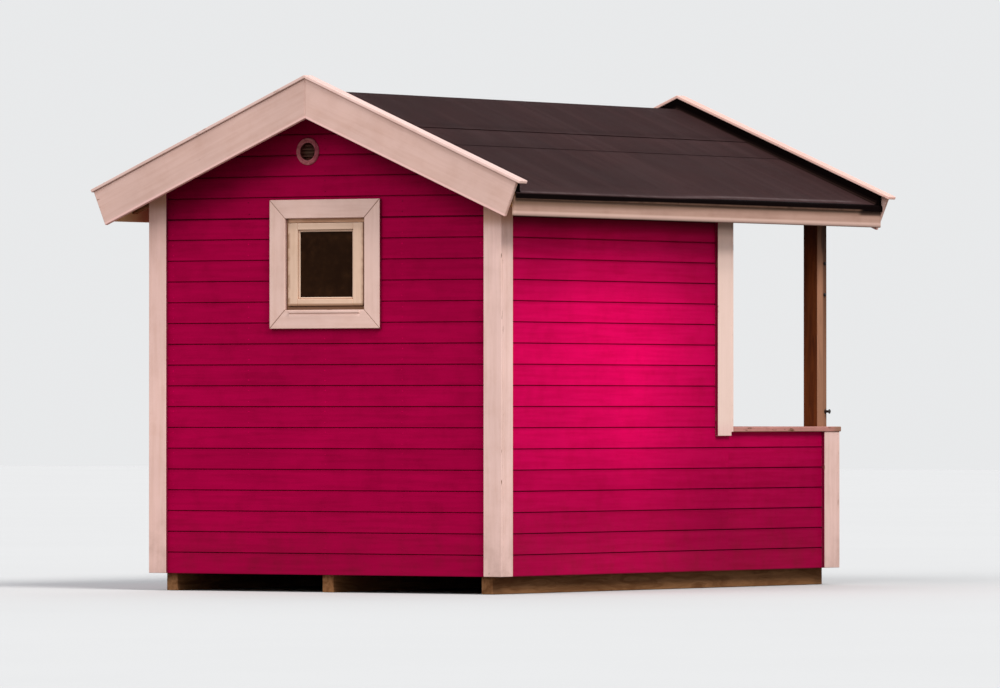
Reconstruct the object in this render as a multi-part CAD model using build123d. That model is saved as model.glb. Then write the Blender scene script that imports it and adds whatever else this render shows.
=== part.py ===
from build123d import *
import math
import os

# Beach hut: a clad timber room with an open porch under one gabled roof.
# Millimetres, +Z up, origin on the ground under the middle of the roof.
# The porch faces -Y and the gable with the window faces +Y.

# Plan and walls
width = 2388              # over the cladding, side to side
room_length = 2458        # rear cladding to the room's front wall
porch_length = 1211       # room's front wall to the porch's front cladding
wall = 60                 # frame and cladding together
skin = 16                 # cladding alone
skirt_height = 100        # underside of the cladding above the ground

# Base
bearer_width = 75
bearer_height = 100
bearer_inset = 70         # cladding face to the outer bearer's face
bearer_setback = 30       # cladding face to the bearer's end
joist_width = 45
joist_depth = 70
joist_spacing = 450       # at most
floor_board = 18

# Roof
pitch = 23                # degrees
ridge_height = 2867       # top of the roofing felt at the ridge
felt = 4
roof_board = 16
rafter_depth = 70
rafter_width = 45
rafter_spacing = 640      # at most
ridge_board_width = 30
ridge_board_depth = 120
plate_height = 60
eave_overhang = 216       # cladding to the fascia's face
verge_overhang = 205      # cladding to the bargeboard's face
fascia_thickness = 20
fascia_height = 114
drip_overhang = 8         # roof boards beyond the fascia
drip_height = 33          # felt turned down over the eave
eave_nose = 12            # rounding of the roof boards at the eave
ridge_sheet = 3
ridge_sheet_reach = 540   # down each slope

# Verges
barge_thickness = 25
barge_height = 210        # square to the slope
barge_above_felt = 59     # square to the slope
barge_past_fascia = 47    # fascia's face to the bargeboard's upper tip, at the front
rear_barge_shift = 22     # the rear pair reaches this much further right and less far left
verge_batten = 40
cap_thickness = 18
cap_proud = 10            # past the bargeboard's face
cap_lip = 3               # past the upturned felt
cap_overrun = 26          # past the bargeboard's end, rear left
cap_overrun_short = 10    # the same, rear right; the front caps reach out just as far

# Window in the rear gable
window_x = -9
window_drop = 991         # ridge to the window's middle
window_width = 546
window_height = 524
window_trim = 108
lining_side = 12
lining_top = 24
lining_bottom = 20
sash_gap = 3
sash_thickness = 36
sash_setback = 10         # trim face to sash face
sash_stile = 78
sash_rail = 50
stop_depth = 12
stop_width = 10
glass_thickness = 4
glass_setback = 20        # sash face to glass
glass_rebate = 8
sill_bead_height = 19
sill_bead_proud = 9
sill_bead_inset = 30      # trim's inner edge to the bead's end

# Round vent in the rear gable
vent_x = 117
vent_drop = 346           # ridge to the vent's middle
vent_flange_radius = 78
vent_bore_radius = 50
vent_sleeve = 4
vent_flange_proud = 9
vent_flange_bevel = 4
vent_slats = 5
vent_slat_thickness = 4
vent_slat_tilt = 40

# Boards over the corners
trim_thickness = 22
corner_board = 121        # seen width, the other board's edge included
front_corner_board = 150  # on the side, at the room's and the porch's front
room_board_foot = 890     # underside of the board at the room's front corner

# Porch
post_width = 98
post_depth = 107
post_inset = 34           # cladding's faces to the post's outer faces
rail_top = 943
rail_thickness = 30
rail_proud = 30           # past the cladding
rail_inner_lip = 15       # past the half wall's inner face
entry_width = 860
beam_depth = 100
gable_skin_drop = 30      # gable cladding below the beam
head_board_height = 120

# Door in the room's front wall
door_width = 740
door_drop = 167           # wall plate's underside to the top of the door frame
door_thickness = 40
door_gap = 3
jamb = 30
jamb_proud = 10
hinge_length = 320
hinge_height = 40
hinge_thickness = 4
hinge_inset = 250         # door's end to the hinge's middle
knob_height = 1000        # above the floor
knob_inset = 60
knob_radius = 26
knob_length = 30
knob_bevel = 8
knob_neck_radius = 9
knob_neck_length = 28
knob_rose_radius = 24
knob_rose_thickness = 4

# Derived places
half_width = width / 2
overall_length = room_length + porch_length
rear = overall_length / 2
front = -overall_length / 2
room_front = rear - room_length
frame_half = half_width - skin
inner_half = half_width - wall
floor_under = bearer_height + joist_depth
floor_top = floor_under + floor_board
slope = math.radians(pitch)
board_under = felt + roof_board
rafter_under = board_under + rafter_depth
fascia_face = half_width + eave_overhang
fascia_back = fascia_face - fascia_thickness
eave_edge = fascia_face + drip_overhang
barge_face = rear + verge_overhang
barge_back = barge_face - barge_thickness
felt_edge = barge_back - verge_batten
barge_run = fascia_face + barge_past_fascia
skin_back = front + skin
post_face = front + post_inset
post_back = post_face + post_depth
post_outer = half_width - post_inset
post_inner = post_outer - post_width
rail_under = rail_top - rail_thickness
door_opening = door_width + 2 * (door_gap + jamb)
window_z = ridge_height - window_drop
vent_z = ridge_height - vent_drop


def roof_z(depth, x):
    """Height of the plane that lies depth below the felt's top, square to the slope."""
    return ridge_height - depth / math.cos(slope) - abs(x) * math.tan(slope)


plate_top = roof_z(rafter_under, inner_half)
plate_under = plate_top - plate_height
door_head = plate_under - door_drop
door_height = door_head - jamb - door_gap - floor_top


def block(x0, x1, y0, y1, z0, z1):
    """A box between two corners."""
    centre = Pos((x0 + x1) / 2, (y0 + y1) / 2, (z0 + z1) / 2)
    return centre * Box(abs(x1 - x0), abs(y1 - y0), abs(z1 - z0))


def section_y(points, y0, y1):
    """An outline of (x, z) points carried from y0 to y1."""
    outline = make_face(Plane.XZ.offset(-y1) * Polyline(*points, close=True))
    return extrude(outline, amount=y1 - y0, dir=(0, -1, 0))


def mirrored(shape):
    """The same shape on the other side of the hut."""
    return mirror(shape, about=Plane.YZ)


def two_sided(shape):
    """A right-hand piece and its left-hand twin that don't touch."""
    return shape + mirrored(shape)


def both_ends(shape):
    """A verge piece with its twin at the other gable."""
    return shape + mirror(shape, about=Plane.XZ)


def slope_points(top, under, x0, x1, square_end=False):
    """Outline of a layer of the right slope between two depths, cut plumb at x0."""
    x_under = x1
    if square_end:
        x_under = x1 - (under - top) * math.sin(slope)
    return [
        (x0, roof_z(top, x0)),
        (x1, roof_z(top, x1)),
        (x_under, roof_z(under, x_under)),
        (x0, roof_z(under, x0)),
    ]


# Base

def make_bearers():
    outer = half_width - bearer_inset - bearer_width / 2
    bearers = Part()
    for x in (-outer, 0, outer):
        bearers += block(x - bearer_width / 2, x + bearer_width / 2,
                         front + bearer_setback, rear - bearer_setback, 0, bearer_height)
    return bearers


def make_joists():
    first = skin_back
    last = rear - skin - joist_width
    count = math.ceil((last - first) / joist_spacing) + 1
    joists = Part()
    for index in range(count):
        y = first + (last - first) * index / (count - 1)
        joists += block(-frame_half, frame_half, y, y + joist_width, bearer_height, floor_under)
    return joists


def make_floor(y0, y1):
    return block(-frame_half, frame_half, y0, y1, floor_under, floor_top)


# Walls

def ridge_slot(y0, y1):
    """The room that the ridge board takes out of a gable."""
    half = ridge_board_width / 2
    foot = roof_z(board_under, 0) - ridge_board_depth
    return block(-half, half, y0, y1, foot, ridge_height)


def gable_panel(half, foot, y0, y1):
    """A gabled slab from foot up to the underside of the roof boards."""
    shoulder = roof_z(board_under, half)
    points = [(-half, foot), (half, foot), (half, shoulder),
              (0, roof_z(board_under, 0)), (-half, shoulder)]
    return section_y(points, y0, y1) - ridge_slot(y0, y1)


def window_hole(margin_side, margin_top, margin_bottom, y0, y1):
    """A block as wide as the window opening less its margins."""
    half = window_width / 2 - margin_side
    top = window_z + window_height / 2 - margin_top
    foot = window_z - window_height / 2 + margin_bottom
    return block(window_x - half, window_x + half, y0, y1, foot, top)


def vent_cylinder(radius, y0, y1):
    place = Pos(vent_x, (y0 + y1) / 2, vent_z) * Rot(90, 0, 0)
    return place * Cylinder(radius, y1 - y0)


def make_rear_wall():
    cladding = gable_panel(half_width, skirt_height, rear - skin, rear)
    frame = gable_panel(frame_half, floor_top, rear - wall, rear - skin)
    wall_solid = cladding + frame
    wall_solid -= window_hole(0, 0, 0, rear - wall, rear)
    wall_solid -= vent_cylinder(vent_bore_radius + vent_sleeve, rear - wall, rear)
    return wall_solid


def make_side_wall():
    """Right wall of the room: the cladding covers the floor's edge and the plate."""
    cladding = section_y([
        (frame_half, skirt_height),
        (half_width, skirt_height),
        (half_width, roof_z(rafter_under, half_width)),
        (frame_half, roof_z(rafter_under, frame_half)),
    ], room_front, rear - skin)
    frame = block(inner_half, frame_half, room_front, rear - wall, floor_top, plate_under)
    return cladding + frame


def make_front_wall_side():
    """Right of the doorway."""
    return block(door_opening / 2, inner_half, room_front, room_front + wall,
                 floor_top, door_head)


def make_front_wall_over():
    return gable_panel(inner_half, door_head, room_front, room_front + wall)


def make_post():
    """Right porch post, on the deck inside both half walls."""
    return block(post_inner, post_outer, post_face, post_back, floor_top, plate_under)


def make_porch_side_wall():
    """Right half wall of the porch, round the outside of the post."""
    cladding = block(frame_half, half_width, skin_back, room_front, skirt_height, rail_under)
    frame = block(inner_half, frame_half, skin_back, room_front, floor_top, rail_under)
    return cladding + frame - make_post()


def make_porch_front_wall():
    """A half wall each side of the entry. The cladding runs on below it, over the deck's edge."""
    walls = Part()
    for side in (-1, 1):
        inner = side * entry_width / 2
        walls += block(inner, side * half_width, front, skin_back, skirt_height, rail_under)
        walls += block(inner, side * inner_half, skin_back, front + wall, floor_top, rail_under)
    walls += block(-entry_width / 2, entry_width / 2, front, skin_back, skirt_height, floor_top)
    return walls - two_sided(make_post())


# Porch frame

def make_porch_gable():
    cladding = gable_panel(half_width, plate_under - gable_skin_drop, front, skin_back)
    frame = gable_panel(inner_half, plate_under + beam_depth, skin_back, front + wall)
    return cladding + frame


def make_beam():
    return block(-inner_half, inner_half, skin_back, front + wall,
                 plate_under, plate_under + beam_depth)


def make_head_board():
    foot = plate_under - gable_skin_drop
    reach = half_width + trim_thickness
    return block(-reach, reach, front - trim_thickness, front, foot, foot + head_board_height)


def make_side_rail():
    """Cap of the right half wall, notched round the post."""
    rail = block(inner_half - rail_inner_lip, half_width + rail_proud,
                 front - rail_proud, room_front - trim_thickness, rail_under, rail_top)
    return rail - make_post()


def make_front_rail():
    rail = block(entry_width / 2 - trim_thickness, inner_half - rail_inner_lip,
                 front - rail_proud, front + wall + rail_inner_lip, rail_under, rail_top)
    return rail - make_post()


# Roof frame

def make_plate():
    return block(inner_half, frame_half, front + wall, rear - wall, plate_under, plate_top)


def make_ridge_board():
    half = ridge_board_width / 2
    foot = roof_z(board_under, 0) - ridge_board_depth
    points = [(-half, foot), (half, foot), (half, roof_z(board_under, half)),
              (0, roof_z(board_under, 0)), (-half, roof_z(board_under, half))]
    return section_y(points, -barge_back, barge_back)


def rafter(y0, seated):
    """A right rafter: plumb cuts at the ridge and the tail, and a birdsmouth on the plate."""
    head = ridge_board_width / 2
    points = [
        (head, roof_z(board_under, head)),
        (fascia_back, roof_z(board_under, fascia_back)),
        (fascia_back, roof_z(rafter_under, fascia_back)),
    ]
    if seated:
        points += [
            (frame_half, roof_z(rafter_under, frame_half)),
            (frame_half, plate_top),
            (inner_half, plate_top),
        ]
    points.append((head, roof_z(rafter_under, head)))
    return section_y(points, y0, y0 + rafter_width)


def rafter_places():
    """Front edges of the rafters between the gables, those beside each wall included."""
    fixed = [front + wall, room_front + wall, rear - wall - rafter_width]
    places = [fixed[0]]
    for start, end in zip(fixed, fixed[1:]):
        bays = math.ceil((end - start) / rafter_spacing)
        places += [start + (end - start) * step / bays for step in range(1, bays + 1)]
    return places


def make_rafters():
    rafters = Part()
    for y in (-barge_back, barge_back - rafter_width):
        rafters += rafter(y, seated=False)
    for y in rafter_places():
        rafters += rafter(y, seated=True)
    return rafters


# Roof covering

def make_roof_boards():
    points = slope_points(felt, board_under, 0, eave_edge)
    boards = section_y(points, -barge_back, barge_back)
    nose = boards.edges().filter_by(Axis.Y).sort_by(Axis.X)[-2:].sort_by(Axis.Z)[-1]
    return fillet(nose, eave_nose)


def make_felt():
    """Right sheet: down over the eave for its whole length, up against the verge battens and
    round their ends."""
    edge = eave_edge + felt
    foot = roof_z(felt, eave_edge) - drip_height
    sheet = section_y([
        (0, roof_z(0, 0)),
        (edge, roof_z(0, edge)),
        (edge, foot),
        (eave_edge, foot),
        (eave_edge, roof_z(felt, eave_edge)),
        (0, roof_z(felt, 0)),
    ], -barge_back, barge_back)
    folds = sheet.edges().filter_by(Axis.Y).sort_by(Axis.X)
    outer = folds[-2:].sort_by(Axis.Z)[-1]
    sheet = fillet(outer, eave_nose + felt)
    inner = sheet.edges().filter_by(Axis.Y).filter_by_position(
        Axis.X, eave_edge - felt / 2, eave_edge + felt / 2).sort_by(Axis.Z)[-1]
    sheet = fillet(inner, eave_nose)
    sheet -= both_ends(block(0, fascia_face, felt_edge, barge_back, foot, ridge_height))
    upturn = slope_points(-barge_above_felt, 0, 0, fascia_face)
    sheet += both_ends(section_y(upturn, felt_edge - felt, felt_edge))
    tab = slope_points(-barge_above_felt, felt, fascia_face, fascia_face + felt)
    return sheet + both_ends(section_y(tab, felt_edge - felt, barge_back))


def make_ridge_sheet():
    """One sheet folded over the ridge and lapped on both slopes."""
    reach = ridge_sheet_reach * math.cos(slope)
    half = section_y(slope_points(-ridge_sheet, 0, 0, reach, square_end=True),
                     felt - felt_edge, felt_edge - felt)
    return half + mirrored(half)


def make_fascia():
    top = roof_z(board_under, fascia_face)
    points = [
        (fascia_back, top - fascia_height),
        (fascia_face, top - fascia_height),
        (fascia_face, top),
        (fascia_back, roof_z(board_under, fascia_back)),
    ]
    return section_y(points, -barge_back, barge_back)


def make_battens():
    points = slope_points(-barge_above_felt, felt, 0, fascia_face)
    return both_ends(section_y(points, felt_edge, barge_back))


def bargeboard(run):
    """A rear one on the right slope, plumb at the ridge and cut square at its lower end."""
    points = slope_points(-barge_above_felt, barge_height - barge_above_felt, 0, run,
                          square_end=True)
    return section_y(points, barge_back, barge_face)


def make_bargeboards(rear_run):
    return bargeboard(rear_run) + mirror(bargeboard(barge_run), about=Plane.XZ)


def cap_tip(run, overrun):
    """How far out a cap reaches that runs on past a bargeboard's upper tip."""
    return run + overrun * math.cos(slope) + cap_thickness * math.sin(slope)


def cap(tip):
    """A rear cap on the right slope, mitred at the ridge."""
    top = -barge_above_felt - cap_thickness
    points = slope_points(top, -barge_above_felt, 0, tip, square_end=True)
    return section_y(points, felt_edge - felt - cap_lip, barge_face + cap_proud)


def make_caps(rear_tip):
    front_tip = cap_tip(barge_run + rear_barge_shift, cap_overrun_short)
    return cap(rear_tip) + mirror(cap(front_tip), about=Plane.XZ)


# Corner boards

def make_rear_corner_board():
    """On the gable: it covers the side board's edge and ends under the roof boards."""
    outer = half_width + trim_thickness
    inner = outer - corner_board
    points = [
        (inner, skirt_height),
        (outer, skirt_height),
        (outer, roof_z(board_under, outer)),
        (inner, roof_z(board_under, inner)),
    ]
    return section_y(points, rear, rear + trim_thickness)


def side_board(y0, y1, foot, top=None):
    """On the right side, under the rafters' tails or to a stated height."""
    outer = half_width + trim_thickness
    points = [
        (half_width, foot),
        (outer, foot),
        (outer, top or roof_z(rafter_under, outer)),
        (half_width, top or roof_z(rafter_under, half_width)),
    ]
    return section_y(points, y0, y1)


def make_side_corner_boards():
    boards = side_board(rear - corner_board + trim_thickness, rear, skirt_height)
    boards += side_board(room_front, room_front + front_corner_board, room_board_foot)
    boards += side_board(front, front + front_corner_board, skirt_height, rail_under)
    return boards


def front_board(x0, x1, face, foot, top):
    return block(x0, x1, face - trim_thickness, face, foot, top)


def make_front_corner_boards():
    outer = half_width + trim_thickness
    inner = outer - corner_board
    boards = front_board(inner, outer, room_front, rail_under, plate_under)
    boards += front_board(inner, outer, front, skirt_height, rail_under)
    boards += block(entry_width / 2 - trim_thickness, entry_width / 2,
                    front, front + wall, floor_top, rail_under)
    return boards


# Window

def make_window_lining():
    """A box lining with a stop that the sash closes against."""
    sash_back = rear + trim_thickness - sash_setback - sash_thickness
    stop_back = sash_back - stop_depth
    lining = window_hole(0, 0, 0, rear - wall, rear)
    lining -= window_hole(lining_side, lining_top, lining_bottom, rear - wall, rear)
    reach = sash_gap + stop_width
    stop = window_hole(lining_side, lining_top, lining_bottom, stop_back, sash_back)
    stop -= window_hole(lining_side + reach, lining_top + reach, lining_bottom + reach,
                        stop_back, sash_back)
    return lining + stop


def sash_block(inset_side, inset_end, y0, y1):
    """A block as large as the sash less an inset."""
    return window_hole(lining_side + sash_gap + inset_side, lining_top + sash_gap + inset_end,
                       lining_bottom + sash_gap + inset_end, y0, y1)


def make_window_glass():
    glass_front = rear + trim_thickness - sash_setback - glass_setback
    return sash_block(sash_stile - glass_rebate, sash_rail - glass_rebate,
                      glass_front - glass_thickness, glass_front)


def make_window_sash():
    sash_front = rear + trim_thickness - sash_setback
    sash_back = sash_front - sash_thickness
    sash = sash_block(0, 0, sash_back, sash_front)
    sash -= sash_block(sash_stile, sash_rail, sash_back, sash_front)
    return sash - make_window_glass()


def trim_outline(points):
    """A trim board against the gable, from the points of its mitred outline."""
    placed = [(window_x + x, window_z + z) for x, z in points]
    return section_y(placed, rear, rear + trim_thickness)


def make_window_trim_sides():
    x0 = window_width / 2
    z0 = window_height / 2
    x1 = x0 + window_trim
    z1 = z0 + window_trim
    left = trim_outline([(x0, -z0), (x1, -z1), (x1, z1), (x0, z0)])
    right = trim_outline([(-x0, -z0), (-x0, z0), (-x1, z1), (-x1, -z1)])
    return left + right


def make_window_trim_ends():
    """Top and bottom boards, with a bead along the bottom one as a sill."""
    x0 = window_width / 2
    z0 = window_height / 2
    x1 = x0 + window_trim
    z1 = z0 + window_trim
    top = trim_outline([(-x0, z0), (x0, z0), (x1, z1), (-x1, z1)])
    bottom = trim_outline([(-x0, -z0), (-x1, -z1), (x1, -z1), (x0, -z0)])
    bead_half = x0 - sill_bead_inset
    face = rear + trim_thickness
    bead = block(window_x - bead_half, window_x + bead_half, face, face + sill_bead_proud,
                 window_z - z0 - sill_bead_height, window_z - z0)
    return top + (bottom + bead)


# Vent

def make_vent():
    """A flanged sleeve with tilted slats across its bore."""
    sleeve = vent_cylinder(vent_bore_radius + vent_sleeve, rear - wall, rear)
    flange = vent_cylinder(vent_flange_radius, rear, rear + vent_flange_proud)
    bore = vent_cylinder(vent_bore_radius, rear - wall, rear + vent_flange_proud)
    rim = flange.edges().filter_by(GeomType.CIRCLE).sort_by(Axis.Y)[-1]
    body = chamfer(rim, vent_flange_bevel) + sleeve - bore
    pitch_z = 2 * vent_bore_radius / vent_slats
    slat_depth = pitch_z / math.cos(math.radians(vent_slat_tilt))
    slat_length = 3 * vent_bore_radius
    slats = Part()
    for index in range(vent_slats):
        z = vent_z + (index - (vent_slats - 1) / 2) * pitch_z
        place = Pos(vent_x, rear - slat_depth / 2, z) * Rot(-vent_slat_tilt, 0, 0)
        slats += place * Box(slat_length, slat_depth, vent_slat_thickness)
    reach = vent_cylinder(vent_bore_radius + vent_sleeve / 2, rear - wall,
                          rear + vent_flange_proud)
    return body + (slats & reach)


# Door

def make_door_frame():
    outer = door_opening / 2
    inner = outer - jamb
    y0 = room_front - jamb_proud
    y1 = room_front + wall
    frame = block(-outer, outer, y0, y1, floor_top, door_head)
    frame -= block(-inner, inner, y0, y1, floor_top, door_head - jamb)
    return frame


def make_door_leaf():
    half = door_width / 2
    y0 = room_front - jamb_proud
    return block(-half, half, y0, y0 + door_thickness, floor_top, floor_top + door_height)


def make_door_hinges():
    """Strap hinges across the leaf and the jamb on the porch side."""
    y1 = room_front - jamb_proud
    left = -door_opening / 2
    hinges = Part()
    for z in (floor_top + hinge_inset, floor_top + door_height - hinge_inset):
        hinges += block(left, left + hinge_length, y1 - hinge_thickness, y1,
                        z - hinge_height / 2, z + hinge_height / 2)
    return hinges


def make_door_knob():
    """A turned knob on a round rose, with its axis out of the leaf."""
    seat = (Align.CENTER, Align.CENTER, Align.MIN)
    rose = Cylinder(knob_rose_radius, knob_rose_thickness, align=seat)
    neck = Cylinder(knob_neck_radius, knob_neck_length, align=seat)
    knob = Cylinder(knob_radius, knob_length, align=seat)
    knob = chamfer(knob.edges().filter_by(GeomType.CIRCLE), knob_bevel)
    place = Pos(door_width / 2 - knob_inset, room_front - jamb_proud, floor_top + knob_height)
    return place * Rot(90, 0, 0) * (rose + neck + Pos(0, 0, knob_neck_length) * knob)


def build_nodes():
    right_rafters = make_rafters()
    right_boards = make_roof_boards()
    right_felt = make_felt()
    right_battens = make_battens()
    run_right = barge_run + rear_barge_shift
    run_left = barge_run - rear_barge_shift
    side_wall = make_side_wall()
    return {
        "bearers": make_bearers(),
        "floor_joists": make_joists(),
        "room_floor": make_floor(room_front, rear - skin),
        "porch_deck": make_floor(skin_back, room_front),
        "rear_wall": make_rear_wall(),
        "right_wall": side_wall,
        "left_wall": mirrored(side_wall),
        "front_wall_sides": two_sided(make_front_wall_side()),
        "front_wall_over_door": make_front_wall_over(),
        "door_frame": make_door_frame(),
        "door_leaf": make_door_leaf(),
        "door_fittings": make_door_hinges() + make_door_knob(),
        "porch_side_walls": two_sided(make_porch_side_wall()),
        "porch_front_walls": make_porch_front_wall(),
        "porch_gable": make_porch_gable(),
        "porch_posts": two_sided(make_post()),
        "porch_beam": make_beam(),
        "porch_head_board": make_head_board(),
        "porch_side_rails": two_sided(make_side_rail()),
        "porch_front_rails": two_sided(make_front_rail()),
        "wall_plates": two_sided(make_plate()),
        "ridge_board": make_ridge_board(),
        "rafters_right": right_rafters,
        "rafters_left": mirrored(right_rafters),
        "roof_boards_right": right_boards,
        "roof_boards_left": mirrored(right_boards),
        "roof_felt_right": right_felt,
        "roof_felt_left": mirrored(right_felt),
        "ridge_felt": make_ridge_sheet(),
        "fascias": two_sided(make_fascia()),
        "verge_battens_right": right_battens,
        "verge_battens_left": mirrored(right_battens),
        "bargeboards_right": make_bargeboards(run_right),
        "bargeboards_left": mirrored(make_bargeboards(run_left)),
        "barge_caps_right": make_caps(cap_tip(run_right, cap_overrun_short)),
        "barge_caps_left": mirrored(make_caps(cap_tip(run_left, cap_overrun))),
        "rear_corner_boards": two_sided(make_rear_corner_board()),
        "side_corner_boards": two_sided(make_side_corner_boards()),
        "front_corner_boards": two_sided(make_front_corner_boards()),
        "window_lining": make_window_lining(),
        "window_sash": make_window_sash(),
        "window_glass": make_window_glass(),
        "window_trim_sides": make_window_trim_sides(),
        "window_trim_ends": make_window_trim_ends(),
        "gable_vent": make_vent(),
    }


def main():
    os.makedirs("parts", exist_ok=True)
    for name, shape in build_nodes().items():
        export_step(shape, f"parts/{name}.step")


main()
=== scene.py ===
import random
from math import ceil, cos, floor, radians, sin, sqrt, tan, tau

import bmesh
import bpy
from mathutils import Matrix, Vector, noise


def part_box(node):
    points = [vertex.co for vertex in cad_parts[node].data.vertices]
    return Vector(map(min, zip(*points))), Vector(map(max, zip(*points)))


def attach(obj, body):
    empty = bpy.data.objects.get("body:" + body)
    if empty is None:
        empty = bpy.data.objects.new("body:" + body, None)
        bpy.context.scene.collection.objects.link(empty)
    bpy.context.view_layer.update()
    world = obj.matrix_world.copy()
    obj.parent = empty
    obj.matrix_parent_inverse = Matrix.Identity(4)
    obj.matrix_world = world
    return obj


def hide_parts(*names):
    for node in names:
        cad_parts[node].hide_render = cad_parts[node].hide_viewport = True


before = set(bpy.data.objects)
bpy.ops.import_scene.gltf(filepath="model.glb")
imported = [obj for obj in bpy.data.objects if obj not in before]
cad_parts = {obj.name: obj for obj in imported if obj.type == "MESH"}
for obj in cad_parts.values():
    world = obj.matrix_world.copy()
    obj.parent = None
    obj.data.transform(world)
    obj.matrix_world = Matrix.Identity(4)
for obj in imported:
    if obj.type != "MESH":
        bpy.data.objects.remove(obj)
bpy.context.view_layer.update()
dice = random.Random(5)

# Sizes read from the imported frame, in metres
rear_low, rear_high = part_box("rear_wall")
side_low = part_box("right_wall")[0]
porch_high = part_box("porch_side_walls")[1]
front_low, front_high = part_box("porch_front_walls")
gable_low, gable_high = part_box("porch_gable")
floor_low, floor_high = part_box("room_floor")
deck_low, deck_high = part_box("porch_deck")
over_low, over_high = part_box("front_wall_over_door")
boards_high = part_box("roof_boards_right")[1]
felt_low, felt_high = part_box("roof_felt_right")
ridge_low, ridge_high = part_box("ridge_felt")
fascia_low, fascia_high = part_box("fascias")
batten_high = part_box("verge_battens_right")[1]
lining_low, lining_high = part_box("window_lining")
sash_low, sash_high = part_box("window_sash")
glass_low, glass_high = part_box("window_glass")
vent_low, vent_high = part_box("gable_vent")
frame_low, frame_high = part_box("door_frame")
leaf_low, leaf_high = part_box("door_leaf")
fit_low, fit_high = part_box("door_fittings")
plate_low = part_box("wall_plates")[0]
post_low, post_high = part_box("porch_posts")
trim_low, trim_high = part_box("window_trim_sides")

half_width = rear_high.x
rear = rear_high.y
room_front = over_low.y
porch_front = front_low.y
inner_half = side_low.x
skin = 0.016  # thickness of the cladding
frame_half = half_width - skin
skin_back = porch_front + skin
foot = rear_low.z
floor_top = floor_high.z
rail_under = porch_high.z
eave_foot = fascia_low.z
post_width = 0.098
corner_cover = 0.098  # how far a rear corner board reaches in over the gable's cladding
pitch = radians(23)
slope_cos = cos(pitch)
slope_sin = sin(pitch)
slope_tan = tan(pitch)
ridge_sheet = 0.003
felt = 0.004
roof_board = 0.016
roof_under = felt + roof_board
ridge_z = ridge_high.z - ridge_sheet / slope_cos
course = 0.12  # cover of a cladding board
between = foot + course / 2  # the lining's joints lie between those of the cladding
open_joint = 0.0005  # how far a board stops short of its joint's middle
joint = (0.0045, 0.008)  # width and depth of a cladding board's chamfer at a joint
floor_joint = (0.0015, 0.002)
deck_joint = (0.003, 0.005)
vent_x = (vent_low.x + vent_high.x) / 2
vent_z = (vent_low.z + vent_high.z) / 2
lap = (0.73, 0.8)  # where two strips of felt overlap, measured down the slope
ridge_reach = (ridge_high.x - ridge_sheet * slope_sin) / slope_cos
porch_end = (-1.73, -1.8)  # along the eave, where its stains change near the porch's corner


def roof_z(depth, x):
    """Height of the plane that lies depth below the felt's top, square to the slope."""
    return ridge_z - depth / slope_cos - abs(x) * slope_tan


def linear(red, green, blue):
    """A linear colour from the 0 to 255 values that a picture shows."""
    made = []
    for value in (red, green, blue):
        value /= 255
        made.append(value / 12.92 if value <= 0.04045 else ((value + 0.055) / 1.055) ** 2.4)
    return (*made, 1)


# Meshes made of many boards

class Stack:
    """Boards that become one object. Each point keeps its place along, across and through
    its own board, in metres and as a share of the board's half size, for the materials."""

    def __init__(self):
        self.points = []
        self.faces = []
        self.grain = []
        self.unit = []
        self.tone = []

    def add(self, points, faces, centre, axes, half, tone, shift):
        first = len(self.points)
        for point in points:
            local = [(point - centre).dot(axis) for axis in axes]
            self.points.append(point)
            self.grain.append(Vector(local) + shift)
            self.unit.append(Vector(value / size for value, size in zip(local, half)))
            self.tone.append(tone)
        self.faces += [[first + index for index in face] for face in faces]

    def make(self, name, material, slot, *nodes, smooth=False):
        """An object of all the boards that rides on the hut and stands for the CAD nodes."""
        mesh = bpy.data.meshes.new(name)
        mesh.from_pydata(self.points, [], self.faces)
        bm = bmesh.new()
        bm.from_mesh(mesh)
        bmesh.ops.recalc_face_normals(bm, faces=bm.faces)
        bm.to_mesh(mesh)
        bm.free()
        for key, values in (("grain", self.grain), ("unit", self.unit)):
            made = mesh.attributes.new(key, "FLOAT_VECTOR", "POINT")
            made.data.foreach_set("vector", [c for value in values for c in value])
        made = mesh.attributes.new("tone", "FLOAT", "POINT")
        made.data.foreach_set("value", self.tone)
        mesh.materials.append(material)
        mesh.polygons.foreach_set("use_smooth", [smooth] * len(mesh.polygons))
        made = bpy.data.objects.new(name, mesh)
        bpy.context.scene.collection.objects.link(made)
        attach(made, "root")
        if nodes:
            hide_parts(*nodes)
        return made


def fresh():
    """A board's own tone, and a shift that gives it its own stretch of grain."""
    return dice.random(), Vector([dice.uniform(0, 40) for _ in range(3)])


def tube(rows, size, closed=False):
    """Faces of a tube whose points come row by row, size of them in a row; closed makes a ring."""
    faces = []
    for row in range(rows if closed else rows - 1):
        here = row * size
        there = (row + 1) % rows * size
        for i in range(size):
            after = (i + 1) % size
            faces.append([here + i, here + after, there + after, there + i])
    if not closed:
        faces += [list(range(size))[::-1], [(rows - 1) * size + i for i in range(size)]]
    return faces


def fitted(points, axes, origin=Vector()):
    """The centre of the points' box along the axes, the axes, and half the box's sizes."""
    local = [[(point - origin).dot(axis) for point in points] for axis in axes]
    middle = [(min(values) + max(values)) / 2 for values in local]
    half = [max((max(values) - min(values)) / 2, 1e-4) for values in local]
    return origin + sum((axis * value for axis, value in zip(axes, middle)), Vector()), axes, half


def at(limit, across):
    """A board's start or end, which may depend on the place across, for a raked cut."""
    return limit(across) if callable(limit) else limit


def prism(stack, place, outline, start, end, tone, shift):
    """A board whose section is outline, a loop of (across, through), from start to end along it."""
    origin = place(0, 0, 0)
    axes = [(place(*step) - origin).normalized() for step in ((1, 0, 0), (0, 1, 0), (0, 0, 1))]
    points = [place(at(limit, c), c, d) for limit in (start, end) for c, d in outline]
    stack.add(points, tube(2, len(outline)), *fitted(points, axes, origin), tone, shift)


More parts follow.
